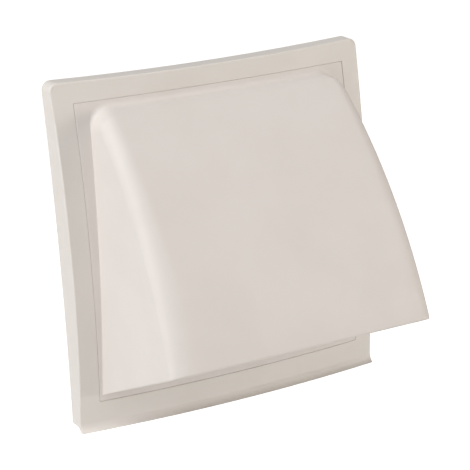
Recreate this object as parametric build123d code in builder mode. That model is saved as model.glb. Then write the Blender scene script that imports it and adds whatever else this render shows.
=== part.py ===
from build123d import *
import math
import os

# Square wall frame
frame_half = 77.5
side_bow = 1.3
top_bow = 1.9
side_draft = 1.3
front_half = frame_half - side_draft
corner_radius = 4.0
frame_wall = 2.2
plate_thickness = 2.2
frame_arris = 0.7

# Domed front, a cap of one large sphere that the frame and the insert share
dome_radius = 575.0
dome_height = 17.8
block_depth = dome_height + plate_thickness

# Drip edge along the bottom of the frame
drip_rise = 0.4
drip_drop = 3.3
drip_flare = 2.2
drip_hollow = 0.6
drip_thickness = 1.5
drip_shoulder = 0.9
drip_start = drip_rise - frame_half
drip_tip = -frame_half - drip_drop
drip_root = -frame_half - drip_shoulder

# Well in the frame and the insert that sits in it
border_width = 10.0
well_half = frame_half - border_width
joint_gap = 0.2
insert_half = well_half - joint_gap
insert_wall = 2.0
well_corner = 0.6
rim_inner_half = well_half + frame_wall

# Duct spigot
spigot_radius = 49.25
spigot_wall = 2.2
spigot_length = 42.0
spigot_lead = 1.0
bore_radius = spigot_radius - spigot_wall

# Screw bosses in the corners of the back plate
screw_margin = 11.5
screw_pitch = 2 * (well_half - screw_margin)
screw_hole_radius = 2.4
boss_radius = 6.0
boss_height = 2.8

# Cross ribs of the hollow rim
rib_thickness = 1.4
rib_setback = 1.5
rib_step = well_half / 2
rib_places = [rib_step * (number - 1.5) for number in range(4)]

# Snap arms of the insert and their windows in the frame
snap_places = (-rib_step, rib_step)
snap_width = 10.0
snap_reach = 1.2
snap_bottom = 4.0
snap_top = 7.2
snap_play = 0.3
snap_slot = 1.2
snap_arm_top = snap_top + snap_slot

# Hood outline on the insert
hood_margin_top = 3.3
hood_margin_sides = 6.4
hood_margin_foot = 1.3
hood_top = insert_half - hood_margin_top
hood_half_top = insert_half - hood_margin_sides
hood_half_bottom = insert_half - hood_margin_foot
hood_corner_radius = 10.0
hood_draft = 0.5
hood_wall = 2.2
hood_edge_radius = 8.5
hood_inner_edge = 3.6
root_bevel = 1.0

# Hood in the side view: a bowed front from the ridge to the lip, and a mouth that rises to the lip
ridge_reach = 21.1
lip_reach = 83.2
lip_height = -37.7
front_bulge = 8.7
mouth_root = 10.5
mouth_margin = 2.9
mouth_height = mouth_margin - insert_half
throat_step = 1.4
throat_bottom = mouth_height + throat_step
mouth_run = 20.0
lip_rounding = 0.5

# Local Z of Plane.XZ points out of the wall; the side plane is drawn outward and up
side_plane = Plane(origin=(0, 0, 0), x_dir=(0, -1, 0), z_dir=(-1, 0, 0))
dome_axis = Axis((0, dome_radius - dome_height, 0), (0, 0, 1))
dome_centre = Location((0, dome_radius - dome_height, 0))
front_place = Location((0, -block_depth, 0))
bows = (side_bow, top_bow, side_bow)
front_run = Vector(lip_reach - ridge_reach, lip_height - hood_top)
hood_front_radius = front_run.length**2 / (8 * front_bulge) + front_bulge / 2
front_middle = Vector(ridge_reach, hood_top) + front_run / 2
front_centre = front_middle + front_run.rotate(Axis.Z, -90).normalized() * (hood_front_radius - front_bulge)
hood_centre = Location((0, -front_centre.X, front_centre.Y), (0, 90, 0))
mouth_rise = (lip_height - mouth_height) / (lip_reach - mouth_root)
mouth_plane = Plane(origin=(0, -mouth_root, mouth_height), z_dir=(0, mouth_rise, 1))


def dome_out(height):
    """How far the dome stands off the wall on the centre line at a height."""
    return dome_height - dome_radius + math.sqrt(dome_radius**2 - height**2)


def border(half, bows, bottom, radius=0.0):
    """Outline face of the square border: left, top and right may bow inward, the bottom is straight."""
    corners = [(-half, bottom), (-half, half), (half, half), (half, bottom)]
    with BuildSketch(Plane.XZ) as face:
        with BuildLine():
            for start, end, bow in zip(corners, corners[1:], bows):
                if bow:
                    SagittaArc(start, end, -bow)
                else:
                    Line(start, end)
            Line(corners[-1], corners[0])
        make_face()
        if radius:
            fillet(face.vertices().group_by(Axis.Y)[-1], radius)
    return face.sketch


def hood_body(inset, soften, size):
    """The hood as a filled body whose sides run on below the mouth, drawn in by the inset."""
    low = mouth_height - mouth_run
    flare = (hood_half_bottom - hood_half_top) / (hood_top - mouth_height)
    low_half = hood_half_bottom + flare * mouth_run
    with BuildPart() as body:
        with BuildSketch(Plane.XZ) as front_view:
            with BuildLine():
                Polyline(
                    (inset - low_half, low),
                    (inset - hood_half_top, hood_top - inset),
                    (hood_half_top - inset, hood_top - inset),
                    (low_half - inset, low),
                    close=True,
                )
            make_face()
            fillet(front_view.vertices().group_by(Axis.Y)[-1], hood_corner_radius - inset)
        extrude(amount=lip_reach + hood_corner_radius, taper=hood_draft)
        with Locations(hood_centre):
            Cylinder(hood_front_radius - inset, 2 * frame_half, mode=Mode.INTERSECT)
        front = body.faces().filter_by(GeomType.CYLINDER).sort_by(SortBy.AREA)[-1]
        soften(front.edges().sort_by(Axis.Z)[1:], size)
    return body.part


# Air space inside the rim of the frame, open to the wall and crossed by ribs
with BuildPart() as rim_hollow:
    loft([
        border(frame_half - frame_wall, bows, frame_wall - frame_half),
        border(front_half - frame_wall, (0, 0, 0), frame_wall - frame_half).moved(front_place),
    ])
    with Locations(dome_centre):
        Sphere(dome_radius - frame_wall, mode=Mode.INTERSECT)
    with BuildSketch(Plane.XZ):
        Rectangle(2 * rim_inner_half, 2 * rim_inner_half)
    extrude(amount=block_depth, mode=Mode.SUBTRACT)
    with BuildSketch(Plane.XZ.offset(rib_setback)):
        for place in rib_places:
            with Locations((place, 0)):
                Rectangle(rib_thickness, 2 * frame_half)
            with Locations((0, place)):
                Rectangle(2 * frame_half, rib_thickness)
    extrude(amount=block_depth, mode=Mode.SUBTRACT)

with BuildPart() as wall_frame:
    # Block with bowed sides at the wall and straight sides at the front
    loft([
        border(frame_half, bows, drip_tip - drip_drop, corner_radius),
        border(front_half, (0, 0, 0), drip_tip - drip_drop, corner_radius).moved(front_place),
    ])
    # Domed front that ends in the drip edge
    with BuildSketch(side_plane):
        with BuildLine():
            flare_root = (dome_out(drip_start), drip_start)
            flare_tip = (flare_root[0] + drip_flare, drip_tip)
            tip_back = (flare_tip[0] - drip_thickness, drip_tip)
            RadiusArc((dome_out(frame_half + 1), frame_half + 1), flare_root, dome_radius)
            SagittaArc(flare_root, flare_tip, -drip_hollow)
            Line(flare_tip, tip_back)
            Line(tip_back, (tip_back[0] - (drip_root - drip_tip), drip_root))
            Line((tip_back[0] - (drip_root - drip_tip), drip_root), (0, -frame_half))
            Line((0, -frame_half), (-block_depth, -frame_half))
            Line((-block_depth, -frame_half), (-block_depth, frame_half + 1))
            Line((-block_depth, frame_half + 1), (dome_out(frame_half + 1), frame_half + 1))
        make_face()
    revolve(axis=dome_axis, mode=Mode.INTERSECT)
    # Arris round the front and down the ends of the drip edge
    dome = wall_frame.faces().filter_by(GeomType.SPHERE).sort_by(SortBy.AREA)[-1]
    flare = wall_frame.faces().filter_by(GeomType.TORUS).sort_by(SortBy.AREA)[-1]
    flare_ends = flare.edges().filter_by(lambda edge: abs(edge.center().X) > well_half)
    chamfer(dome.edges().sort_by(Axis.Z)[1:] + flare_ends, frame_arris)
    # Hollow rim
    add(rim_hollow.part, mode=Mode.SUBTRACT)
    # Well for the insert, with the back plate as its floor
    with BuildSketch(Plane.XZ.offset(plate_thickness)):
        RectangleRounded(2 * well_half, 2 * well_half, well_corner)
    extrude(amount=block_depth, mode=Mode.SUBTRACT)
    # Duct spigot behind the plate
    with BuildSketch(Plane.XZ.offset(plate_thickness)):
        Circle(spigot_radius)
    extrude(amount=-(plate_thickness + spigot_length))
    chamfer(wall_frame.edges().group_by(Axis.Y)[-1], spigot_lead)
    # Screw bosses
    with BuildSketch(Plane.XZ):
        with GridLocations(screw_pitch, screw_pitch, 2, 2):
            Circle(boss_radius)
    extrude(amount=plate_thickness + boss_height)
    with BuildSketch(Plane.XZ):
        with GridLocations(screw_pitch, screw_pitch, 2, 2):
            Circle(screw_hole_radius)
    extrude(amount=plate_thickness + boss_height, mode=Mode.SUBTRACT)
    with BuildSketch(Plane.XZ.offset(plate_thickness)):
        Circle(bore_radius)
    extrude(amount=-(plate_thickness + spigot_length), mode=Mode.SUBTRACT)
    # Windows that the snap arms catch in
    with BuildSketch(Plane.XZ.offset(snap_bottom - snap_play)):
        with Locations(*[(0, place) for place in snap_places]):
            Rectangle(2 * rim_inner_half, snap_width + 2 * snap_play)
    extrude(amount=snap_top - snap_bottom + 2 * snap_play, mode=Mode.SUBTRACT)
wall_frame.part.label = "wall_frame"

# Body of the hood wall, standing on the dome and open below
with BuildPart() as hood_shell:
    add(hood_body(0.0, fillet, hood_edge_radius))
    split(bisect_by=mouth_plane, keep=Keep.TOP)
    add(hood_body(hood_wall, chamfer, hood_inner_edge), mode=Mode.SUBTRACT)
    with Locations(dome_centre):
        Sphere(dome_radius - insert_wall / 2, mode=Mode.SUBTRACT)
    lip = hood_shell.faces().filter_by(GeomType.CYLINDER).sort_by(SortBy.AREA)[-2:]
    fillet(lip.edges().group_by(Axis.Z)[0], lip_rounding)

# Space behind the flange, between the walls of the skirt
with BuildPart() as skirt_hollow:
    with BuildSketch(Plane.XZ):
        Rectangle(2 * (insert_half - insert_wall), 2 * (insert_half - insert_wall))
    extrude(amount=block_depth)
    with Locations(dome_centre):
        Sphere(dome_radius - insert_wall, mode=Mode.INTERSECT)

# Way from the duct into the hood
with BuildPart() as throat:
    add(hood_body(hood_wall, chamfer, hood_inner_edge))
    split(bisect_by=Plane.XY.offset(throat_bottom), keep=Keep.TOP)

with BuildPart() as cowl:
    # Flange and skirt, standing on the plate
    with BuildSketch(Plane.XZ.offset(plate_thickness)):
        RectangleRounded(2 * insert_half, 2 * insert_half, well_corner)
    extrude(amount=block_depth)
    with Locations(dome_centre):
        Sphere(dome_radius, mode=Mode.INTERSECT)
    add(skirt_hollow.part, mode=Mode.SUBTRACT)
    add(hood_shell.part)
    add(throat.part, mode=Mode.SUBTRACT)
    # Bevelled root where the hood leaves the flange
    flange = cowl.faces().filter_by(GeomType.SPHERE).sort_by(Axis.Y)[0]
    root = flange.inner_wires()[0].edges().filter_by(lambda edge: edge.center().Z > throat_bottom + root_bevel)
    chamfer(root, root_bevel)
    # Snap arms, cut free of the skirt
    with BuildSketch(Plane.XZ.offset(plate_thickness)):
        for place in snap_places:
            for side in (-1, 1):
                with Locations((0, place + side * (snap_width + snap_slot) / 2)):
                    Rectangle(2 * insert_half, snap_slot)
    extrude(amount=snap_arm_top - plate_thickness, mode=Mode.SUBTRACT)
    for place in snap_places:
        for side in (-1, 1):
            with BuildSketch(Plane.XY.offset(place - snap_width / 2)):
                with BuildLine():
                    Polyline(
                        (side * (insert_half - snap_play), -snap_bottom),
                        (side * insert_half, -snap_bottom),
                        (side * (insert_half + snap_reach), snap_play - snap_top),
                        (side * (insert_half + snap_reach), -snap_top),
                        (side * (insert_half - snap_play), -snap_top),
                        close=True,
                    )
                make_face()
            extrude(amount=snap_width)
cowl.part.label = "cowl"

os.makedirs("parts", exist_ok=True)
export_step(wall_frame.part, "parts/wall_frame.step")
export_step(cowl.part, "parts/cowl.step")
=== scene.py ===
"""Looks of the cowled wall vent: a moulded cowl and its wall frame in a plain studio."""

import logging
import math
from dataclasses import dataclass
from enum import Enum
from typing import Sequence

import bmesh
import bpy
import numpy as np
from bpy.types import Material, Node, NodeSocket, NodeTree, Object, World
from mathutils import Matrix, Vector


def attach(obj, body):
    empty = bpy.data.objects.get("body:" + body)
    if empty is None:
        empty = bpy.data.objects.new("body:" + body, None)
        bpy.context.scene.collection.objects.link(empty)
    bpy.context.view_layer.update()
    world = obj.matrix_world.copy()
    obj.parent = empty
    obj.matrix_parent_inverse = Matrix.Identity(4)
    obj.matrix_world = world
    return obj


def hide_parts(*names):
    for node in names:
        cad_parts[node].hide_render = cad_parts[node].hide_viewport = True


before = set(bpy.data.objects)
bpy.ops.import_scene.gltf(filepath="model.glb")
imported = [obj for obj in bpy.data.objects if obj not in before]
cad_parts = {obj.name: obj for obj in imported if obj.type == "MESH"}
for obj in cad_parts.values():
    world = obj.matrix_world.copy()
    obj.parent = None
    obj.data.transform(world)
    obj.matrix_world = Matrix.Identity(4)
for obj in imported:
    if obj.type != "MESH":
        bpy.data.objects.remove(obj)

Array = np.ndarray
# A shape is rows of points and arrays of faces. Places are three arrays that Returns names.
Shape = tuple[Array, list[Array]]
Places = tuple[Array, Array, Array]

LOG = logging.getLogger("cowled_vent")
MM = 0.001
MERGE_MM = 0.002
SHARP_DEG = 40.0
QUARTER_TURN = np.linspace(0, np.pi / 2, 5)
# Rounds of halving, and the last place along a half section that they look at.
HALVINGS = 40
ALMOST_MIDDLE = 0.999
LEAST_ROUND_MM = 0.05
# Turns millimetres sideways, outwards and up into metres in the row's frame, out being -Y.
TO_ROW_FRAME = np.array([1.0, -1.0, 1.0]) * MM
MIRROR = np.array([-1.0, 1.0, 1.0])
PHOTO_PX = 470
SENSOR_MM = 36.0


# Colour and nodes


def linear(hex_colour: str) -> tuple[float, float, float, float]:
    """Turn an sRGB hex colour into linear light.

    Args:
        hex_colour: Six hex digits after a hash.

    Returns:
        Linear red, green and blue, and full opacity.
    """
    raw = np.array([int(hex_colour[i : i + 2], 16) / 255 for i in (1, 3, 5)])
    light = np.where(raw <= 0.04045, raw / 12.92, ((raw + 0.055) / 1.055) ** 2.4)
    return (*light.tolist(), 1.0)


def empty_tree(owner: Material | World) -> NodeTree:
    """Turn on the nodes of a material or the world, and clear them.

    Args:
        owner: The material or the world.

    Returns:
        Its node tree, empty.
    """
    owner.use_nodes = True
    owner.node_tree.nodes.clear()
    return owner.node_tree


def add_node(
    tree: NodeTree,
    kind: str,
    settings: dict[str, object] | None = None,
    inputs: dict[str | int, object] | None = None,
) -> Node:
    """Add a node, set it up and link what feeds it.

    Args:
        tree: Node tree that gets the node.
        kind: Blender's name of the node type.
        settings: Attributes of the node itself.
        inputs: Socket name or number to a value, or to the output socket that feeds it.

    Returns:
        The new node.
    """
    node = tree.nodes.new(kind)
    for name, value in (settings or {}).items():
        setattr(node, name, value)
    for name, value in (inputs or {}).items():
        if isinstance(value, NodeSocket):
            tree.links.new(value, node.inputs[name])
        else:
            node.inputs[name].default_value = value
    return node


def white_light(tree: NodeTree, kind: str, seen: float, given: float) -> NodeSocket:
    """White light that has one strength for the camera and another for all else.

    Args:
        tree: Node tree that gets the nodes.
        kind: Blender's name of the shining node's type.
        seen: Strength that the camera sees.
        given: Strength that falls on things.

    Returns:
        The output socket of the mixed light.
    """
    to_camera = add_node(tree, "ShaderNodeLightPath").outputs["Is Camera Ray"]
    lights = [
        add_node(tree, kind, inputs={"Color": linear("#ffffff"), "Strength": power}).outputs[0]
        for power in (given, seen)
    ]
    inputs = dict(enumerate([to_camera, *lights]))
    return add_node(tree, "ShaderNodeMixShader", inputs=inputs).outputs[0]


# Finishes


@dataclass(frozen=True)
class MouldedPlastic:
    """Injection-moulded ASA, off-white and satin, as outdoor ventilation parts are made of.

    The eye gets a soft, broad sheen from the finely etched mould, a hardly visible cloudiness
    from the pigment, and highlights that waver a little where the walls have shrunk in.

    Attributes:
        name: Name of the material.
        colour: Colour of the plastic.
        cloud: Colour of its slightly darker clouds.
        roughness: Mean roughness of the etched surface.
        spread: How far the roughness departs from its mean, up and down.
        ior: Index of refraction of the plastic.
        cloud_mm: Size of the clouds in the pigment.
        cloud_range: Values of the cloud noise between which the colour changes.
        sheen_range: Values of the same noise between which the roughness changes.
        sink_mm: Spacing of the shallow sinks over the walls.
        sink_depth_mm: Depth of the sinks.
        sink_strength: Share of that depth that bends the light.
        grain_mm: Spacing of the etched grain, drawn coarser than the real 0.05 mm so that it shows.
        grain_depth_mm: Depth of the grain.
        grain_strength: Share of that depth that bends the light.
    """

    name: str
    colour: str
    cloud: str
    roughness: float = 0.54
    spread: float = 0.05
    ior: float = 1.52
    cloud_mm: float = 34.0
    cloud_range: tuple[float, float] = (0.35, 0.75)
    sheen_range: tuple[float, float] = (0.3, 0.7)
    sink_mm: float = 26.0
    sink_depth_mm: float = 0.25
    sink_strength: float = 0.25
    grain_mm: float = 0.45
    grain_depth_mm: float = 0.03
    grain_strength: float = 0.16

    def build(self) -> Material:
        """Make the material.

        Returns:
            The node material, which reads Object coordinates.
        """
        material = bpy.data.materials.new(self.name)
        tree = empty_tree(material)
        place = add_node(tree, "ShaderNodeTexCoord").outputs["Object"]
        clouds, sinks, grain = (
            add_node(
                tree,
                "ShaderNodeTexNoise",
                inputs={"Vector": place, "Scale": 1 / (size * MM), "Detail": detail, "Roughness": rough},
            ).outputs["Fac"]
            for size, detail, rough in (
                (self.cloud_mm, 3.0, 0.55),
                (self.sink_mm, 1.0, 0.5),
                (self.grain_mm, 2.0, 0.6),
            )
        )
        cloud_share, sheen = (
            add_node(
                tree,
                "ShaderNodeMapRange",
                {"clamp": True},
                {"Value": clouds, "From Min": low, "From Max": high, "To Min": least, "To Max": most},
            ).outputs["Result"]
            for (low, high), least, most in (
                (self.cloud_range, 0.0, 1.0),
                (self.sheen_range, self.roughness - self.spread, self.roughness + self.spread),
            )
        )
        colours = {"Factor": cloud_share, 6: linear(self.colour), 7: linear(self.cloud)}
        tint = add_node(tree, "ShaderNodeMix", {"data_type": "RGBA"}, colours)
        normal = {}
        # The grain lies over the sinks.
        for strength, depth_mm, height in (
            (self.sink_strength, self.sink_depth_mm, sinks),
            (self.grain_strength, self.grain_depth_mm, grain),
        ):
            inputs = {"Strength": strength, "Distance": depth_mm * MM, "Height": height, **normal}
            normal = {"Normal": add_node(tree, "ShaderNodeBump", inputs=inputs).outputs["Normal"]}
        shader = add_node(
            tree,
            "ShaderNodeBsdfPrincipled",
            inputs={
                "Base Color": tint.outputs[2],
                "Roughness": sheen,
                "IOR": self.ior,
                "Metallic": 0.0,
                **normal,
            },
        )
        add_node(tree, "ShaderNodeOutputMaterial", inputs={"Surface": shader.outputs["BSDF"]})
        return material


class Finish(Enum):
    """The two mouldings' plastics."""

    COWL = MouldedPlastic("moulded_asa_cowl", "#ded8d4", "#dad4cf")
    FRAME = MouldedPlastic("moulded_asa_frame", "#e0dbd6", "#dcd7d1")


# Mesh helpers


def enclosed_volume(points: Array, faces: Sequence[Array]) -> float:
    """Volume inside closed faces, below zero where they face inward.

    Formula: each face is a fan of triangles, and each triangle adds a sixth of the triple product
    of its corners.

    Args:
        points: Array of n rows of x, y and z.
        faces: Arrays of faces, each with as many columns as its faces have corners.

    Returns:
        The signed volume.
    """
    total = 0.0
    for block in faces:
        corners = points[block]
        first, middle, last = corners[:, :1], corners[:, 1:-1], corners[:, 2:]
        total += float(np.sum(first * np.cross(middle, last))) / 6
    return total


def mesh_object(name: str, points: Array, faces: Sequence[Array]) -> Object:
    """Put points and faces into a new object at the origin, with points that coincide merged.

    Edges that turn by more than SHARP_DEG stay sharp.

    Args:
        name: Name of the piece.
        points: Array of n rows of x, y and z in metres.
        faces: Arrays of faces, each with as many columns as its faces have corners.

    Returns:
        The object, linked to the scene.
    """
    mesh = bpy.data.meshes.new(name)
    mesh.from_pydata(points.tolist(), [], [row for block in faces for row in block.tolist()])
    merged = bmesh.new()
    merged.from_mesh(mesh)
    bmesh.ops.remove_doubles(merged, verts=merged.verts, dist=MERGE_MM * MM)
    merged.to_mesh(mesh)
    merged.free()
    mesh.validate()
    if enclosed_volume(points, faces) < 0:
        mesh.flip_normals()
    mesh.shade_smooth()
    mesh.set_sharp_from_angle(angle=math.radians(SHARP_DEG))
    thing = bpy.data.objects.new(name, mesh)
    bpy.context.scene.collection.objects.link(thing)
    return thing


def grid_faces(rows: int, columns: int, wrap_rows: bool = False, wrap_columns: bool = False) -> Array:
    """Quads over a grid of points stored row by row.

    Args:
        rows: Number of rows.
        columns: Number of columns.
        wrap_rows: Whether the last row joins the first.
        wrap_columns: Whether the last column joins the first.

    Returns:
        Array of quads.
    """
    i = np.arange(rows if wrap_rows else rows - 1)[:, None]
    j = np.arange(columns if wrap_columns else columns - 1)[None, :]
    next_j = (j + 1) % columns
    here = i * columns
    there = (i + 1) % rows * columns
    quads = np.stack([here + j, here + next_j, there + next_j, there + j], axis=-1)
    return quads.reshape(-1, 4)


def conic(begin: Array, corner: Array, end: Array, steps: int, pull: float = 0.75) -> Array:
    """Arcs that leave one edge and reach another, tangent to both legs of their corner.

    Formula: at a share t the point is the mean of begin, corner and end, with the weights
    (1 - t) squared, 2 w t (1 - t) and t squared, where w is the pull.

    Args:
        begin: Rows of points where the arcs begin.
        corner: Rows of points where the two legs meet.
        end: Rows of points where the arcs end.
        steps: Points along each arc.
        pull: Weight of the corner. At 0.75 the arc is close to a circle's.

    Returns:
        Array of rows, steps and coordinates.
    """
    share = np.linspace(0, 1, steps)[None, :, None]
    weights = [(1 - share) ** 2, 2 * pull * share * (1 - share), share**2]
    mean = sum(weight * row[:, None] for weight, row in zip(weights, (begin, corner, end)))
    return mean / sum(weights)


def swept_bar(sections: Array) -> Shape:
    """Close a run of closed sections into a bar with an end face at each end.

    Args:
        sections: Array of sections, points and coordinates.

    Returns:
        Points and the faces.
    """
    count, ring = sections.shape[:2]
    first = np.arange(ring)[None, ::-1]
    last = np.arange(ring)[None, :] + (count - 1) * ring
    sides = grid_faces(count, ring, wrap_columns=True)
    return sections.reshape(-1, sections.shape[2]), [sides, first, last]


def part_way(value: Array, begin: float, end: float) -> Array:
    """Share of the way from begin to end that a value has gone, held between 0 and 1."""
    return np.clip((value - begin) / (end - begin), 0, 1)


def eased(share: Array) -> Array:
    """Share with a level start and end: three times its square less twice its cube."""
    return share * share * (3 - 2 * share)


def moulded_piece(name: str, shape: Shape, material: Material) -> Object:
    """Make a piece of a moulding from a shape in millimetres.

    Args:
        name: Name of the piece.
        shape: Rows of x, out and up in millimetres, and the faces.
        material: Its plastic.

    Returns:
        The dressed piece, which rides on the root.
    """
    points, faces = shape
    piece = mesh_object(name, points * TO_ROW_FRAME, faces)
    piece.data.materials.append(material)
    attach(piece, "root")
    return piece


# Shared dome


@dataclass(frozen=True)
class Dome:
    """The large sphere that the frame's border and the cowl's flange share.

    Attributes:
        radius: Radius of the sphere.
        height: How far it stands off the wall at its highest point.
    """

    radius: float = 575.0
    height: float = 17.8

    def out(self, x: Array, z: Array, depth: float | Array = 0.0) -> Array:
        """Outward distance of the dome over a place on the wall.

        Formula: the height less the radius, plus the square root of the radius squared less x squared
        less z squared, with the radius made smaller by the depth.
        """
        return self.height - self.radius + np.sqrt((self.radius - depth) ** 2 - x**2 - z**2)


# Cowl


@dataclass(frozen=True)
class Hood:
    """The hood of the cowl: one moulded wall round three sides and the front, open below.

    Sections are taken in a fan of planes that all pass through one line across the wall, at the
    foot of the mouth plane. In each plane the section is a U: two straight side walls, two rounded
    corners and a straight front.

    Attributes:
        dome: The sphere that the hood stands on.
        top: Height of the hood's top at the wall.
        half_top: Half width at the top.
        half_bottom: Half width at the foot of the mouth.
        draft_deg: How much the walls draw in outwards.
        wall: Wall thickness.
        front_radius: Radius of the bowed front in the side view.
        centre: Outward and upward place of that radius's centre.
        mouth_root: Outward and upward place of the foot of the mouth.
        lip: Outward and upward place of the lip.
        corner_top: Radius of the two top corners in the front view.
        edge_top: Radius of the long front edges at the ridge.
        edge_lip: Reach of the long front edges across the front, at the lip.
        edge_growth: Power with which that reach grows towards the lip.
        edge_depth: Their reach along the sides at the lip, as a share of the one across.
        ridge: Radius where the front turns into the top.
        seat: How far the walls reach into the flange.
        lip_round: Rounding of the lip, across the wall.
        lip_squeeze: Divisor that keeps that rounding low on the profile.
        front_share: Share of the profile that the front takes. The ridge has the rest.
        wall_share: Share of a half section that the side wall takes.
        corner_share: Share that the side wall and the rounded corner take together.
        fan_foot: Distance from the hinge at which the sections begin.
    """

    dome: Dome
    top: float = 64.0
    half_top: float = 60.9
    half_bottom: float = 66.0
    draft_deg: float = 0.5
    wall: float = 2.2
    front_radius: float = 209.0
    centre: tuple[float, float] = (-118.7, -91.4)
    mouth_root: tuple[float, float] = (10.5, -64.4)
    lip: tuple[float, float] = (83.2, -37.7)
    corner_top: float = 10.0
    edge_top: float = 7.0
    edge_lip: float = 12.0
    edge_growth: float = 1.2
    edge_depth: float = 0.55
    ridge: float = 8.5
    seat: float = 1.95
    lip_round: float = 0.6
    lip_squeeze: float = 1.2
    front_share: float = 0.7
    wall_share: float = 0.3
    corner_share: float = 0.75
    fan_foot: float = 4.0

    @property
    def rise(self) -> float:
        """Slope of the mouth plane, upward per outward."""
        return (self.lip[1] - self.mouth_root[1]) / (self.lip[0] - self.mouth_root[0])

    @property
    def hinge(self) -> float:
        """Height of the line that the fan of planes turns about, in the plane of the wall."""
        return self.mouth_root[1] - self.mouth_root[0] * self.rise

    def flare(self) -> float:
        """How much the half width grows per millimetre downwards."""
        return (self.half_bottom - self.half_top) / (self.top - self.mouth_root[1])

    def profile(self, share: Array, inset: Array | float) -> Places:
        """Middle line of the hood's skin in the side view, from the lip to the end of the ridge.

        Formula: up to the front's share it is the arc of the front, about the arc's centre, from the
        mouth plane to the ridge; then an arc of the ridge's radius that touches the front's arc from
        inside and ends level with the top.

        Args:
            share: Place along the line, 0 at the lip and 1 where the ridge meets the top.
            inset: How far the skin lies inside the outer one.

        Returns:
            Outward and upward places, and the angle of the outward normal.
        """
        out_0, up_0 = self.centre
        radius = self.front_radius - inset
        ridge = self.ridge - inset
        tilt = math.atan(self.rise)
        along = -out_0 * math.cos(tilt) + (self.hinge - up_0) * math.sin(tilt)
        clear = out_0**2 + (self.hinge - up_0) ** 2
        reach = -along + np.sqrt(along**2 - clear + radius**2)
        start = np.arctan2(self.hinge + reach * math.sin(tilt) - up_0, reach * math.cos(tilt) - out_0)
        ridge_up = self.top - self.ridge
        turn = np.arcsin((ridge_up - up_0) / (self.front_radius - self.ridge))
        ridge_out = out_0 + (self.front_radius - self.ridge) * np.cos(turn)
        on_front = share <= self.front_share
        front_angle = start + (turn - start) * part_way(share, 0.0, self.front_share)
        ridge_angle = turn + (np.pi / 2 - turn) * part_way(share, self.front_share, 1.0)
        angle = np.where(on_front, front_angle, ridge_angle)
        out = np.where(on_front, out_0 + radius * np.cos(angle), ridge_out + ridge * np.cos(angle))
        up = np.where(on_front, up_0 + radius * np.sin(angle), ridge_up + ridge * np.sin(angle))
        return out, up, angle

    def section(self, share: Array, along: Array, inset: Array | float) -> Places:
        """Points of one half of the U sections.

        Formula: in a plane through the hinge line, at a distance q from that line, the side wall is
        x = a - b q, the front is q = q_front, and a quarter ellipse touches both. From the ridge to
        the lip the ellipse grows across by a power of the way, while its reach along the walls falls
        to a share of that. The place along runs outwards on the wall up to the wall's share, round
        the corner up to the corner's share, and to the middle of the front at 1.

        Args:
            share: Place along the profile, 0 at the lip.
            along: Place along the half section.
            inset: How far the skin lies inside the outer one.

        Returns:
            Sideways, outward and upward places.
        """
        front_out, front_up, normal = self.profile(share, inset)
        fan = np.arctan2(front_up - self.hinge, front_out)
        q_front = np.hypot(front_up - self.hinge, front_out)
        slope = self.flare() * np.sin(fan) + math.tan(math.radians(self.draft_deg)) * np.cos(fan)
        foot = self.half_top + (self.top - self.hinge) * self.flare() - inset
        blend = eased(part_way(share, self.front_share, 1.0))
        down = (1 - part_way(share, 0.0, self.front_share)) ** self.edge_growth
        edge = self.edge_top + (self.edge_lip - self.edge_top) * down
        across = edge + (self.corner_top - edge) * blend - inset
        deep = across * (1 + (self.edge_depth - 1) * down) / np.cos(normal - fan)
        first = np.arctan(slope * deep / across)
        q_corner = q_front - deep
        q_wall = q_corner + deep * np.sin(first)
        x_corner = foot - slope * q_wall - across * np.cos(first)
        wall_part = part_way(along, 0.0, self.wall_share)
        corner_part = part_way(along, self.wall_share, self.corner_share)
        front_part = part_way(along, self.corner_share, 1.0)
        angle = first + (np.pi / 2 - first) * corner_part
        on_wall = along < self.wall_share
        wall_q = self.fan_foot + (q_wall - self.fan_foot) * wall_part
        q = np.where(on_wall, wall_q, q_corner + deep * np.sin(angle))
        x = np.where(on_wall, foot - slope * q, x_corner * (1 - front_part) + across * np.cos(angle))
        return x, q * np.cos(fan), self.hinge + q * np.sin(fan)

    def start(self, share: Array, inset: Array | float, depth: float) -> Array:
        """Place along each half section at which it leaves the dome.

        Formula: the stretch between the foot and almost the middle is halved over and over, and the
        half that still crosses the dome is kept.

        Args:
            share: Places along the profile.
            inset: How far the skin lies inside the outer one.
            depth: How far under the dome the leaving is looked for.

        Returns:
            The place along, one for each share.
        """
        low = np.zeros_like(share)
        high = np.full_like(share, ALMOST_MIDDLE)
        for _ in range(HALVINGS):
            middle = (low + high) / 2
            x, out, up = self.section(share, middle, inset)
            inside = out < self.dome.out(x, up, depth)
            low = np.where(inside, middle, low)
            high = np.where(inside, high, middle)
        return high

    def skin(self, shares: Array, insets: Array, columns: int) -> Array:
        """Points of the skin, row by row from left to right.

        Formula: each row is a section at its share and inset, with as many points on the left as
        mirrored on the right. A row whose share is over 1 is the last section lowered onto the
        dome, by the part over 1.

        Args:
            shares: Place of each row along the profile.
            insets: Inset of each row.
            columns: Points in one half of a row.

        Returns:
            Array of rows, points and x, out and up.
        """
        held = np.minimum(shares, 1.0)
        lowered = np.clip(shares - 1.0, 0, 1)[:, None]
        first = self.start(held, insets, self.seat)[:, None]
        along = first + (1 - first) * np.linspace(0, 1, columns)[None, :]
        x, out, up = self.section(held[:, None], along, insets[:, None])
        seat = self.dome.out(x, up, self.seat)
        out = out + (seat - out) * lowered
        left = np.stack([-x, out, up], axis=-1)
        return np.concatenate([left, left[:, -2::-1] * MIRROR], axis=1)

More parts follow.
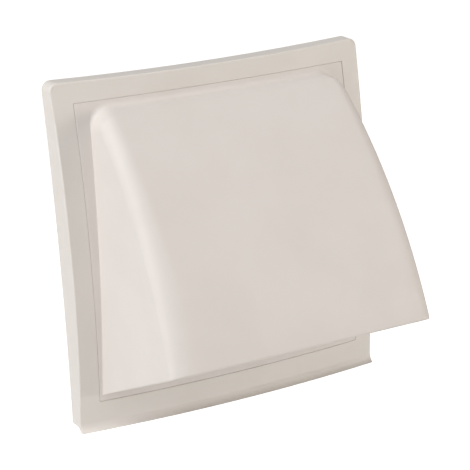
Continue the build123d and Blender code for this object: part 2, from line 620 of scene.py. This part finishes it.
    def build(
        self, front_rows: int = 49, ridge_rows: int = 16, top_rows: int = 6, columns: int = 70
    ) -> Shape:
        """Closed wall of the hood.

        Formula: rows of the outer skin come down to the lip, go round it by two quarter turns and
        climb the inner skin.

        Args:
            front_rows: Rows of each skin on the front, without the lip's.
            ridge_rows: Rows round the ridge.
            top_rows: Rows from the ridge back to the dome.
            columns: Points in one half of a row.

        Returns:
            Points in millimetres and the faces.
        """
        front = np.linspace(0, self.front_share, front_rows + 1)[1:]
        ridge = np.linspace(self.front_share, 1.0, ridge_rows + 1)[1:]
        inner = np.concatenate([front, ridge, np.linspace(1.0, 2.0, top_rows + 1)[1:]])
        outer = inner[::-1]
        reach = math.hypot(self.lip[0], self.lip[1] - self.hinge)
        lift = self.lip_round / reach / self.lip_squeeze
        turn_in = self.lip_round * (1 - np.cos(QUARTER_TURN))
        turn_up = lift * (1 - np.sin(QUARTER_TURN))
        edge_inset = np.concatenate([turn_in, self.wall - turn_in[::-1]])
        shares = np.concatenate([outer, turn_up, turn_up[::-1], inner])
        insets = np.concatenate([np.zeros_like(outer), edge_inset, np.full_like(inner, self.wall)])
        grid = self.skin(shares, insets, columns)
        total, wide = grid.shape[:2]
        skin = grid_faces(total, wide, wrap_rows=True)
        upper = np.arange(len(outer) - 1)
        lower = total - 1 - upper
        left = np.stack([upper, upper + 1, lower - 1, lower], axis=-1) * wide
        right = left[:, ::-1] + wide - 1
        ring = np.arange(len(outer) - 1, len(outer) + len(edge_inset) + 1)
        left_cap = (ring * wide)[None, :]
        right_cap = (ring[::-1] * wide + wide - 1)[None, :]
        return grid.reshape(-1, 3), [skin, left, right, left_cap, right_cap]


@dataclass(frozen=True)
class HoodRoot:
    """Hollow rounding where the hood grows out of the flange, wide on top and slight at the sides.

    Attributes:
        hood: The hood that it runs round.
        wide: Radius along the top.
        slight: Radius at the sides.
        growth_range: Upward parts of the wall's direction between which the radius grows.
        sunk: How far the bar reaches into the hood and the flange.
    """

    hood: Hood
    wide: float = 2.6
    slight: float = 0.5
    growth_range: tuple[float, float] = (0.1, 0.9)
    sunk: float = 0.3

    def path(self, climb: int, across: int) -> Array:
        """Line where the outside of the hood meets the dome, from the foot on the left to the right.

        Args:
            climb: Points up each side.
            across: Points along each half of the top.

        Returns:
            Rows of x, out and up.
        """
        shares = np.linspace(0, 1, climb)
        leaving = self.hood.start(shares, 0.0, 0.0)
        x, out, up = self.hood.section(shares, leaving, 0.0)
        side = np.stack([-x, out, up], axis=-1)
        along = np.linspace(leaving[-1], 1, across + 1)[1:]
        x, _, up = self.hood.section(np.ones(across), along, 0.0)
        top = np.stack([-x, self.hood.dome.out(x, up), up], axis=-1)
        left = np.concatenate([side, top])
        return np.concatenate([left, left[-2::-1] * MIRROR])

    def build(self, climb: int = 60, across: int = 60, steps: int = 9) -> Shape:
        """Closed bar along the root.

        Formula: at each point of the line the section is an arc from the dome to the wall, tangent to
        both, closed by three points inside the mouldings. Its radius grows from slight to wide with
        how far the wall faces upwards.

        Args:
            climb: Points up each side.
            across: Points along each half of the top.
            steps: Points along each arc.

        Returns:
            Points in millimetres and the faces.
        """
        line = self.path(climb, across)
        run = np.gradient(line[:, [0, 2]], axis=0)
        run /= np.linalg.norm(run, axis=1, keepdims=True)
        away = np.stack([-run[:, 1], np.zeros(len(line)), run[:, 0]], axis=-1)
        growth = eased(part_way(away[:, 2], *self.growth_range))
        radius = (self.slight + (self.wide - self.slight) * growth)[:, None]
        ahead = line + away * radius
        ahead[:, 1] = self.hood.dome.out(ahead[:, 0], ahead[:, 2])
        draw = math.tan(math.radians(self.hood.draft_deg))
        up_wall = line + radius * (np.array([0.0, 1.0, 0.0]) - away * draw)
        arcs = conic(ahead, line, up_wall, steps)
        down = np.array([0.0, -self.sunk, 0.0])
        inward = -away * self.sunk
        hidden = np.stack([up_wall + inward, line + inward + down, ahead + down], axis=1)
        return swept_bar(np.concatenate([arcs, hidden], axis=1))


@dataclass(frozen=True)
class Outline:
    """A closed outline in the plane of the wall: a symmetrical trapezium with rounded corners.

    Attributes:
        top: Height of the top edge.
        bottom: Height of the bottom edge.
        half_top: Half width at the top edge.
        half_bottom: Half width at the bottom edge.
        round_top: Radius of the top corners.
        round_bottom: Radius of the bottom corners.
    """

    top: float
    bottom: float
    half_top: float
    half_bottom: float
    round_top: float
    round_bottom: float

    def points(self, stops: Sequence[Array], corner: int, inset: float = 0.0) -> Array:
        """Points in order, anticlockwise from the front, beginning at the foot on the right.

        Args:
            stops: Shares of the way along the right, top, left and bottom side at which points lie.
            corner: Points on each rounded corner.
            inset: How far to draw the outline in.

        Returns:
            Array of x and z.
        """
        top, bottom = self.top - inset, self.bottom + inset
        half_top, half_bottom = self.half_top - inset, self.half_bottom - inset
        corners = [
            (half_bottom, bottom, self.round_bottom, -90),
            (half_top, top, self.round_top, 0),
            (-half_top, top, self.round_top, 90),
            (-half_bottom, bottom, self.round_bottom, 180),
        ]
        arcs = []
        for x, z, radius, begin in corners:
            radius = max(radius - inset, LEAST_ROUND_MM)
            angle = np.radians(begin + np.linspace(0, 90, corner))
            middle = np.array([x - math.copysign(radius, x), z - math.copysign(radius, z)])
            arcs.append(middle + radius * np.stack([np.cos(angle), np.sin(angle)], axis=-1))
        parts = []
        for arc, following, stop in zip(arcs, arcs[1:] + arcs[:1], stops):
            parts += [arc, arc[-1] + (following[0] - arc[-1]) * stop[:, None]]
        return np.concatenate(parts)


@dataclass(frozen=True)
class SnapArms:
    """Four spring arms, cut free of the skirt, whose hooks catch in windows of the frame.

    Attributes:
        half: Half width of the cowl's skirt.
        places: Heights of the arms' middles, on both sides.
        width: Width of an arm.
        slot: Width of the two cuts beside it.
        slot_end: Outward place at which the cuts end.
        hair: Half the distance between the two points at an edge of a cut.
        reach: How far a hook stands out of the skirt.
        ramp: Outward place at which the hook's ramp begins.
        crest: Outward place at which the ramp ends.
        catch: Outward place of the face that catches.
        sunk: How far a hook reaches into its arm.
    """

    half: float = 67.3
    places: tuple[float, float] = (-33.75, 33.75)
    width: float = 10.0
    slot: float = 1.2
    slot_end: float = 8.4
    hair: float = 0.01
    reach: float = 1.2
    ramp: float = 4.0
    crest: float = 6.9
    catch: float = 7.2
    sunk: float = 0.3

    @property
    def end(self) -> float:
        """Height past which the sides are free of cuts."""
        return max(self.places) + self.width / 2 + 2 * self.slot

    def cut_edges(self) -> Array:
        """Heights of the cuts' edges, each twice and a hair apart, so that the cuts are square.

        Returns:
            The heights in order.
        """
        offsets = np.array([self.width / 2, self.width / 2 + self.slot])
        edges = np.add.outer(np.array(self.places), np.concatenate([-offsets, offsets])).ravel()
        return np.sort(np.concatenate([edges - self.hair, edges + self.hair]))

    def foot(self, outline: Array, floor: float) -> Array:
        """Outward place of the skirt's foot, raised in the cuts.

        Args:
            outline: Rows of x and z along the skirt.
            floor: Outward place of the foot beside the cuts.

        Returns:
            The place at each row.
        """
        off_arm = np.abs(outline[:, 1:] - np.array(self.places))
        off_cut = np.min(np.abs(off_arm - (self.width + self.slot) / 2), axis=1)
        cut = (off_cut < self.slot / 2) & (np.abs(outline[:, 0]) > self.end)
        return np.where(cut, self.slot_end, floor)

    def build(self) -> Shape:
        """Closed hooks on the four arms.

        Formula: each is a wedge section, drawn out over the width of its arm.

        Returns:
            Points in millimetres and the faces.
        """
        steps = (-self.sunk, 0.0, self.reach, self.reach, -self.sunk)
        outs = (self.ramp, self.ramp, self.crest, self.catch, self.catch)
        wedge = np.array([(self.half + step, out) for step, out in zip(steps, outs)])
        points: list[Array] = []
        faces: list[Array] = []
        for place in self.places:
            for side in (1, -1):
                ends = [
                    np.insert(wedge[::side] * np.array([side, 1]), 2, place + half, axis=1)
                    for half in (-self.width / 2, self.width / 2)
                ]
                bar, bar_faces = swept_bar(np.stack(ends))
                faces += [block + len(wedge) * 2 * len(points) for block in bar_faces]
                points.append(bar)
        return np.concatenate(points), faces


@dataclass(frozen=True)
class Flange:
    """The domed plate that carries the hood, with the skirt that fills the frame's well.

    Attributes:
        dome: The shared sphere.
        hood: The hood that stands on it.
        arms: The snap arms in its skirt.
        half: Half height of the skirt.
        half_across: Half width of the skirt, a hair less, so that the joint shows at the sides.
        rounding: Radius of the skirt's corners.
        thickness: Thickness of the plate and the skirt.
        floor: Outward place of the skirt's foot.
        opening_foot: Height of the opening's lower edge.
        opening_round: Radius of the opening's lower corners.
        arris: Rounding of the visible edges.
    """

    dome: Dome
    hood: Hood
    arms: SnapArms
    half: float = 67.46
    half_across: float = 67.40
    rounding: float = 0.6
    thickness: float = 2.0
    floor: float = 2.2
    opening_foot: float = -63.0
    opening_round: float = 0.8
    arris: float = 0.42

    def opening(self) -> Outline:
        """Edge of the opening, half way through the hood's wall.

        Returns:
            The outline.
        """
        hood, inset = self.hood, self.hood.wall / 2
        return Outline(
            top=hood.top - inset,
            bottom=self.opening_foot,
            half_top=hood.half_top - inset,
            half_bottom=hood.half_top + (hood.top - self.opening_foot) * hood.flare() - inset,
            round_top=hood.corner_top - inset,
            round_bottom=self.opening_round,
        )

    def stops(self, side: int) -> list[Array]:
        """Where points lie along the four sides: evenly, and at the cuts on the right and left.

        Args:
            side: Even points on each side.

        Returns:
            Shares of the way along the right, top, left and bottom side.
        """
        even = np.linspace(0, 1, side + 2)[1:-1]
        straight = self.half - self.rounding
        upward = np.sort(np.concatenate([even, (self.arms.cut_edges() / straight + 1) / 2]))
        return [upward, even, 1 - upward[::-1], even]

    def draw_in(self, outline: Array) -> Array:
        """Outline moved inward by the thickness, its points beside the arms left at their heights.

        Formula: each coordinate loses the thickness times its share of the way from the end of the
        arms to the skirt.
        """
        share = part_way(np.abs(outline), self.arms.end, self.half)
        return outline - np.sign(outline) * self.thickness * share

    def build(self, side: int = 44, corner: int = 9, front_rows: int = 6, back_rows: int = 4) -> Shape:
        """Closed band of the plate and the skirt.

        Formula: rows go round the profile of the band. Each row is an outline between the
        opening's and the skirt's, lifted to the dome, to the dome less a depth, or to the foot.

        Args:
            side: Even points on each side of the outlines.
            corner: Points on each corner.
            front_rows: Rows over the front, between its two arrises.
            back_rows: Rows over the back.

        Returns:
            Points in millimetres and the faces.
        """
        stops = self.stops(side)
        hole = self.opening().points(stops, corner)
        across = self.half_across
        rim = Outline(self.half, -self.half, across, across, self.rounding, self.rounding)
        soft = self.arris
        rows: list[Array] = []

        def lay(outline: Array, depth: float) -> None:
            """Lay a row on the dome at a depth."""
            out = self.dome.out(outline[:, 0], outline[:, 1], depth)
            rows.append(np.stack([outline[:, 0], out, outline[:, 1]], axis=-1))

        lay(hole, self.thickness)
        for turn in QUARTER_TURN:
            widened = hole * (1 + soft * (1 - np.cos(turn)) / self.half)
            lay(widened, soft * (1 - np.sin(turn)))
        inner_row = hole * (1 + soft / self.half)
        outer_row = rim.points(stops, corner, soft)
        for share in np.linspace(0, 1, front_rows + 2)[1:-1]:
            lay(inner_row + (outer_row - inner_row) * share, 0.0)
        for turn in QUARTER_TURN:
            lay(rim.points(stops, corner, soft * (1 - np.sin(turn))), soft * (1 - np.cos(turn)))
        foot = rim.points(stops, corner)
        inner_rim = self.draw_in(foot)
        level = self.arms.foot(foot, self.floor)
        for outline in (foot, inner_rim):
            rows.append(np.stack([outline[:, 0], level, outline[:, 1]], axis=-1))
        for share in np.linspace(0, 1, back_rows + 1)[:-1]:
            lay(inner_rim + (hole - inner_rim) * share, self.thickness)
        grid = np.stack(rows)
        faces = grid_faces(grid.shape[0], grid.shape[1], wrap_rows=True, wrap_columns=True)
        return grid.reshape(-1, 3), [faces[:, ::-1]]


@dataclass(frozen=True)
class FrameFront:
    """Front of the frame: the shared dome, which ends below in a drip edge that hooks outwards.

    Attributes:
        dome: The shared sphere.
        foot: Height at which the drip edge begins.
        tip: Height of its tip.
        flare: How far it stands out at the tip.
        hollow: Depth of its hollow.
    """

    dome: Dome
    foot: float = -77.1
    tip: float = -80.8
    flare: float = 2.2
    hollow: float = 0.6

    def out(self, x: Array, z: Array) -> Array:
        """Outward distance of the front over a place on the wall.

        Formula: above the foot it is the dome's. Below, the radius of the level circle is the one at
        the foot plus what a circle through the foot and the tip adds, with the hollow as its rise.

        Args:
            x: Sideways places.
            z: Upward places.

        Returns:
            The distances.
        """
        drop = self.foot - self.tip
        chord = math.hypot(self.flare, drop)
        bend = chord**2 / (8 * self.hollow) + self.hollow / 2
        reach = (bend - self.hollow) / chord
        middle_out, middle_up = self.flare / 2 + reach * drop, reach * self.flare - drop / 2
        below = np.minimum(z - self.foot, 0.0)
        added = middle_out - np.sqrt(bend**2 - (below - middle_up) ** 2)
        at_foot = np.sqrt(self.dome.radius**2 - np.maximum(z, self.foot) ** 2)
        level = at_foot + np.where(z < self.foot, added, 0.0)
        return self.dome.height - self.dome.radius + np.sqrt(level**2 - x**2)


@dataclass(frozen=True)
class FrameArris:
    """Rounding of the frame's front edge, laid over the small bevel of the moulding's solid.

    Attributes:
        front: The frame's front.
        half: Half width of the frame at the wall.
        depth: How far out the frame draws in.
        draw: How much its half width shrinks over that depth.
        side_bow: How far the sides bow in at the wall.
        top_bow: How far the top bows in at the wall.
        corner: Radius of the two top corners.
        bow_foot: Height at which the bow of the sides begins.
        setback: Distance from the edge at which the rounding begins on each face.
        sunk: How far the bar reaches under the bevel.
        crowding: Power that crowds the points of the sides towards the drip edge.
        rounds: Rounds in which the edge's outward place is found.
    """

    front: FrameFront
    half: float = 77.5
    depth: float = 20.0
    draw: float = 1.3
    side_bow: float = 1.3
    top_bow: float = 1.9
    corner: float = 4.0
    bow_foot: float = -84.1
    setback: float = 0.7
    sunk: float = 0.2
    crowding: float = 1.6
    rounds: int = 6

    def path(self, climb: int, turn: int, across: int) -> Places:
        """Left half of the front edge, from the drip edge's tip to the middle of the top.

        Formula: a straight side, a quarter circle and a straight top, moved inward by the bows. A bow
        is greatest half way along its side and at the wall, and shrinks outwards as the block does.
        Where the edge lies on the front is found by putting its outward place back in, in rounds.

        Args:
            climb: Points up the side.
            turn: Points round the corner.
            across: Points along half of the top.

        Returns:
            Rows of x, out and up, the outline's outward normals and how fast it shrinks outwards.
        """
        round_corner = np.linspace(0, np.pi / 2, turn + 1)[1:]
        angle = np.concatenate([np.zeros(climb), round_corner, np.full(across, np.pi / 2)])
        normal = np.stack([-np.cos(angle), np.sin(angle)], axis=-1)
        up_share = np.concatenate([np.linspace(0, 1, climb) ** self.crowding, np.ones(turn + across)])
        in_share = np.concatenate([np.zeros(climb + turn), np.linspace(0, 1, across + 1)[1:]])
        out = np.full(len(angle), self.front.dome.height)
        bow_middle, bow_half = (self.half + self.bow_foot) / 2, (self.half - self.bow_foot) / 2
        for _ in range(self.rounds):
            half = self.half - self.draw * out / self.depth
            centre = half - self.corner
            x = -centre * (1 - in_share) + self.corner * normal[:, 0]
            up = self.front.tip + (centre - self.front.tip) * up_share + self.corner * normal[:, 1]
            side_bow = self.side_bow * (1 - ((up - bow_middle) / bow_half) ** 2)
            top_bow = self.top_bow * (1 - (x / self.half) ** 2)
            bow = np.stack([side_bow, top_bow], axis=-1)
            place = np.stack([x, up], axis=-1) - normal * bow * (1 - out / self.depth)[:, None]
            out = self.front.out(place[:, 0], place[:, 1])
        shrink = (self.draw - np.sum(bow * normal**2, axis=1)) / self.depth
        line = np.stack([place[:, 0], out, place[:, 1]], axis=-1)
        return line, np.stack([normal[:, 0], np.zeros(len(angle)), normal[:, 1]], axis=-1), shrink

    def build(self, climb: int = 60, turn: int = 17, across: int = 50, steps: int = 7) -> Shape:
        """Closed bar along the front edge.

        Formula: at each point of the edge the section is an arc from the side wall to the front,
        tangent to both and beginning at the setback, closed by one point under the bevel.

        Args:
            climb: Points up each side.
            turn: Points round each corner.
            across: Points along each half of the top.
            steps: Points along each arc.

        Returns:
            Points in millimetres and the faces.
        """
        line, normal, shrink = self.path(climb, turn, across)
        back = normal * shrink[:, None] + np.array([0.0, -1.0, 0.0])
        back /= np.linalg.norm(back, axis=1, keepdims=True)
        slope = np.sum(line * normal, axis=1) / self.front.dome.radius
        inward = -normal + slope[:, None] * np.array([0.0, 1.0, 0.0])
        inward /= np.linalg.norm(inward, axis=1, keepdims=True)
        on_side = line + back * self.setback
        on_front = line + inward * self.setback
        hidden = (on_side + on_front) / 2 + (back + inward) * self.sunk
        half = np.concatenate([conic(on_side, line, on_front, steps), hidden[:, None]], axis=1)
        return swept_bar(np.concatenate([half, half[-2::-1] * MIRROR]))


@dataclass(frozen=True)
class Cowl:
    """The cowl moulding: hood, its root, the flange and its hooks in one.

    Attributes:
        dome: The shared sphere.
    """

    dome: Dome

    def build(self, material: Material) -> list[Object]:
        """Build and dress the cowl.

        Args:
            material: The cowl's plastic.

        Returns:
            The pieces. The CAD node is hidden.
        """
        hood, arms = Hood(self.dome), SnapArms()
        parts = {
            "cowl_hood": hood,
            "cowl_flange": Flange(self.dome, hood, arms),
            "cowl_root": HoodRoot(hood),
            "cowl_hooks": arms,
        }
        pieces = [
            moulded_piece(name, part.build(), material) for name, part in parts.items()
        ]
        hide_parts("cowl")
        return pieces


@dataclass(frozen=True)
class WallFrame:
    """The wall frame moulding: the CAD solid, with its front edge rounded.

    Attributes:
        dome: The shared sphere.
    """

    dome: Dome

    def build(self, material: Material) -> list[Object]:
        """Dress the CAD node and add its rounding.

        Args:
            material: The frame's plastic.

        Returns:
            The added pieces.
        """
        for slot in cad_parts["wall_frame"].material_slots:
            slot.material = material
        arris = FrameArris(FrameFront(self.dome)).build()
        return [moulded_piece("frame_arris", arris, material)]


# Studio


@dataclass(frozen=True)
class Lamp:
    """One soft lamp.

    Attributes:
        name: Name of the lamp.
        place: Where it stands, in metres.
        size: Side of its square face, in metres.
        power: Power in watts.
        tint: Colour of its light.
    """

    name: str
    place: tuple[float, float, float]
    size: float
    power: float
    tint: str


@dataclass(frozen=True)
class Studio:
    """Pale floor, soft lamps and the camera at the photograph's angle.

    Attributes:
        floor_z: Height of the floor under the vent, which hangs as on its wall.
        floor_half: Half the side of the floor, in metres.
        floor_glow: Strength of the floor's light that only the camera sees.
        aim: Point that the camera looks at, in metres.
        distance: From the camera to that point, in metres.
        azimuth_deg: How far the camera stands round to the left.
        elevation_deg: How far it looks down.
        roll_deg: How far it leans.
        focal_px: Focal length in pixels of the photograph.
        lamps: The lamps.
        sky: Strength of the even light from all round.
    """

    floor_z: float = -0.30
    floor_half: float = 30.0
    floor_glow: float = 0.7
    aim: tuple[float, float, float] = (0.0082, -0.0058, -0.0053)
    distance: float = 0.823
    azimuth_deg: float = 27.83
    elevation_deg: float = 14.77
    roll_deg: float = -3.87
    focal_px: float = 1801.0
    lamps: tuple[Lamp, ...] = (
        Lamp("left_high", (-2.70, -0.30, 1.50), 1.2, 33.5, "#fdfdff"),
        Lamp("left_front", (-1.90, -2.30, 0.35), 1.2, 6.8, "#fffefc"),
        Lamp("right_low", (2.40, -1.80, 0.35), 1.2, 33.5, "#fff7ec"),
        Lamp("top_left", (-1.50, -0.30, 2.50), 1.6, 38.0, "#fffdfa"),
    )
    sky: float = 0.29

    def camera(self) -> None:
        """Place the camera and make it the scene's."""
        data = bpy.data.cameras.new("camera")
        data.sensor_width = SENSOR_MM
        data.sensor_fit = "HORIZONTAL"
        data.lens = self.focal_px / PHOTO_PX * SENSOR_MM
        azimuth, elevation = math.radians(self.azimuth_deg), math.radians(self.elevation_deg)
        flat = math.cos(elevation)
        forward = Vector((flat * math.sin(azimuth), flat * math.cos(azimuth), -math.sin(elevation)))
        level = forward.cross(Vector((0, 0, 1))).normalized()
        lean = Matrix.Rotation(math.radians(-self.roll_deg), 3, forward)
        right = lean @ level
        turn = Matrix((right, right.cross(forward), -forward)).transposed()
        camera = bpy.data.objects.new("camera", data)
        place = Matrix.Translation(Vector(self.aim) - forward * self.distance)
        camera.matrix_world = place @ turn.to_4x4()
        bpy.context.scene.collection.objects.link(camera)
        bpy.context.scene.camera = camera

    def light(self) -> None:
        """Set up the lamps and the even light."""
        for lamp in self.lamps:
            data = bpy.data.lights.new(lamp.name, "AREA")
            data.shape = "SQUARE"
            data.size = lamp.size
            data.energy = lamp.power
            data.color = linear(lamp.tint)[:3]
            thing = bpy.data.objects.new(lamp.name, data)
            thing.location = lamp.place
            thing.rotation_euler = (-Vector(lamp.place)).to_track_quat("-Z", "Y").to_euler()
            bpy.context.scene.collection.objects.link(thing)
        world = bpy.data.worlds.new("studio")
        tree = empty_tree(world)
        sky = white_light(tree, "ShaderNodeBackground", 1.0, self.sky)
        add_node(tree, "ShaderNodeOutputWorld", inputs={"Surface": sky})
        bpy.context.scene.world = world

    def floor(self) -> None:
        """Lay the pale floor, which looks white to the camera and keeps the shadow."""
        material = bpy.data.materials.new("painted_floor")
        tree = empty_tree(material)
        colour = {"Color": linear("#f2f1ef"), "Roughness": 0.0}
        paint = add_node(tree, "ShaderNodeBsdfDiffuse", inputs=colour).outputs["BSDF"]
        glow = white_light(tree, "ShaderNodeEmission", self.floor_glow, 0.0)
        total = add_node(tree, "ShaderNodeAddShader", inputs={0: paint, 1: glow})
        add_node(tree, "ShaderNodeOutputMaterial", inputs={"Surface": total.outputs["Shader"]})
        square = np.array([[-1, -1, 0], [1, -1, 0], [1, 1, 0], [-1, 1, 0]])
        corners = square * self.floor_half + np.array([0, 0, self.floor_z])
        floor = mesh_object("floor", corners, [np.array([[0, 1, 2, 3]])])
        floor.data.materials.append(material)

    def build(self) -> None:
        """Build the whole studio and set the plain view."""
        self.camera()
        self.light()
        self.floor()
        bpy.context.scene.view_settings.view_transform = "Standard"


# Run


def main() -> None:
    """Build the studio and the vent, and keep both boxes."""
    logging.basicConfig(level=logging.INFO, format="%(name)s: %(message)s")
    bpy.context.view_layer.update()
    Studio().build()
    plastics = {finish: finish.value.build() for finish in Finish}
    dome = Dome()
    pieces = Cowl(dome).build(plastics[Finish.COWL]) + WallFrame(dome).build(plastics[Finish.FRAME])
    for piece in pieces:
        LOG.info("%s: %d faces", piece.name, len(piece.data.polygons))


if __name__ == "__main__":
    main()
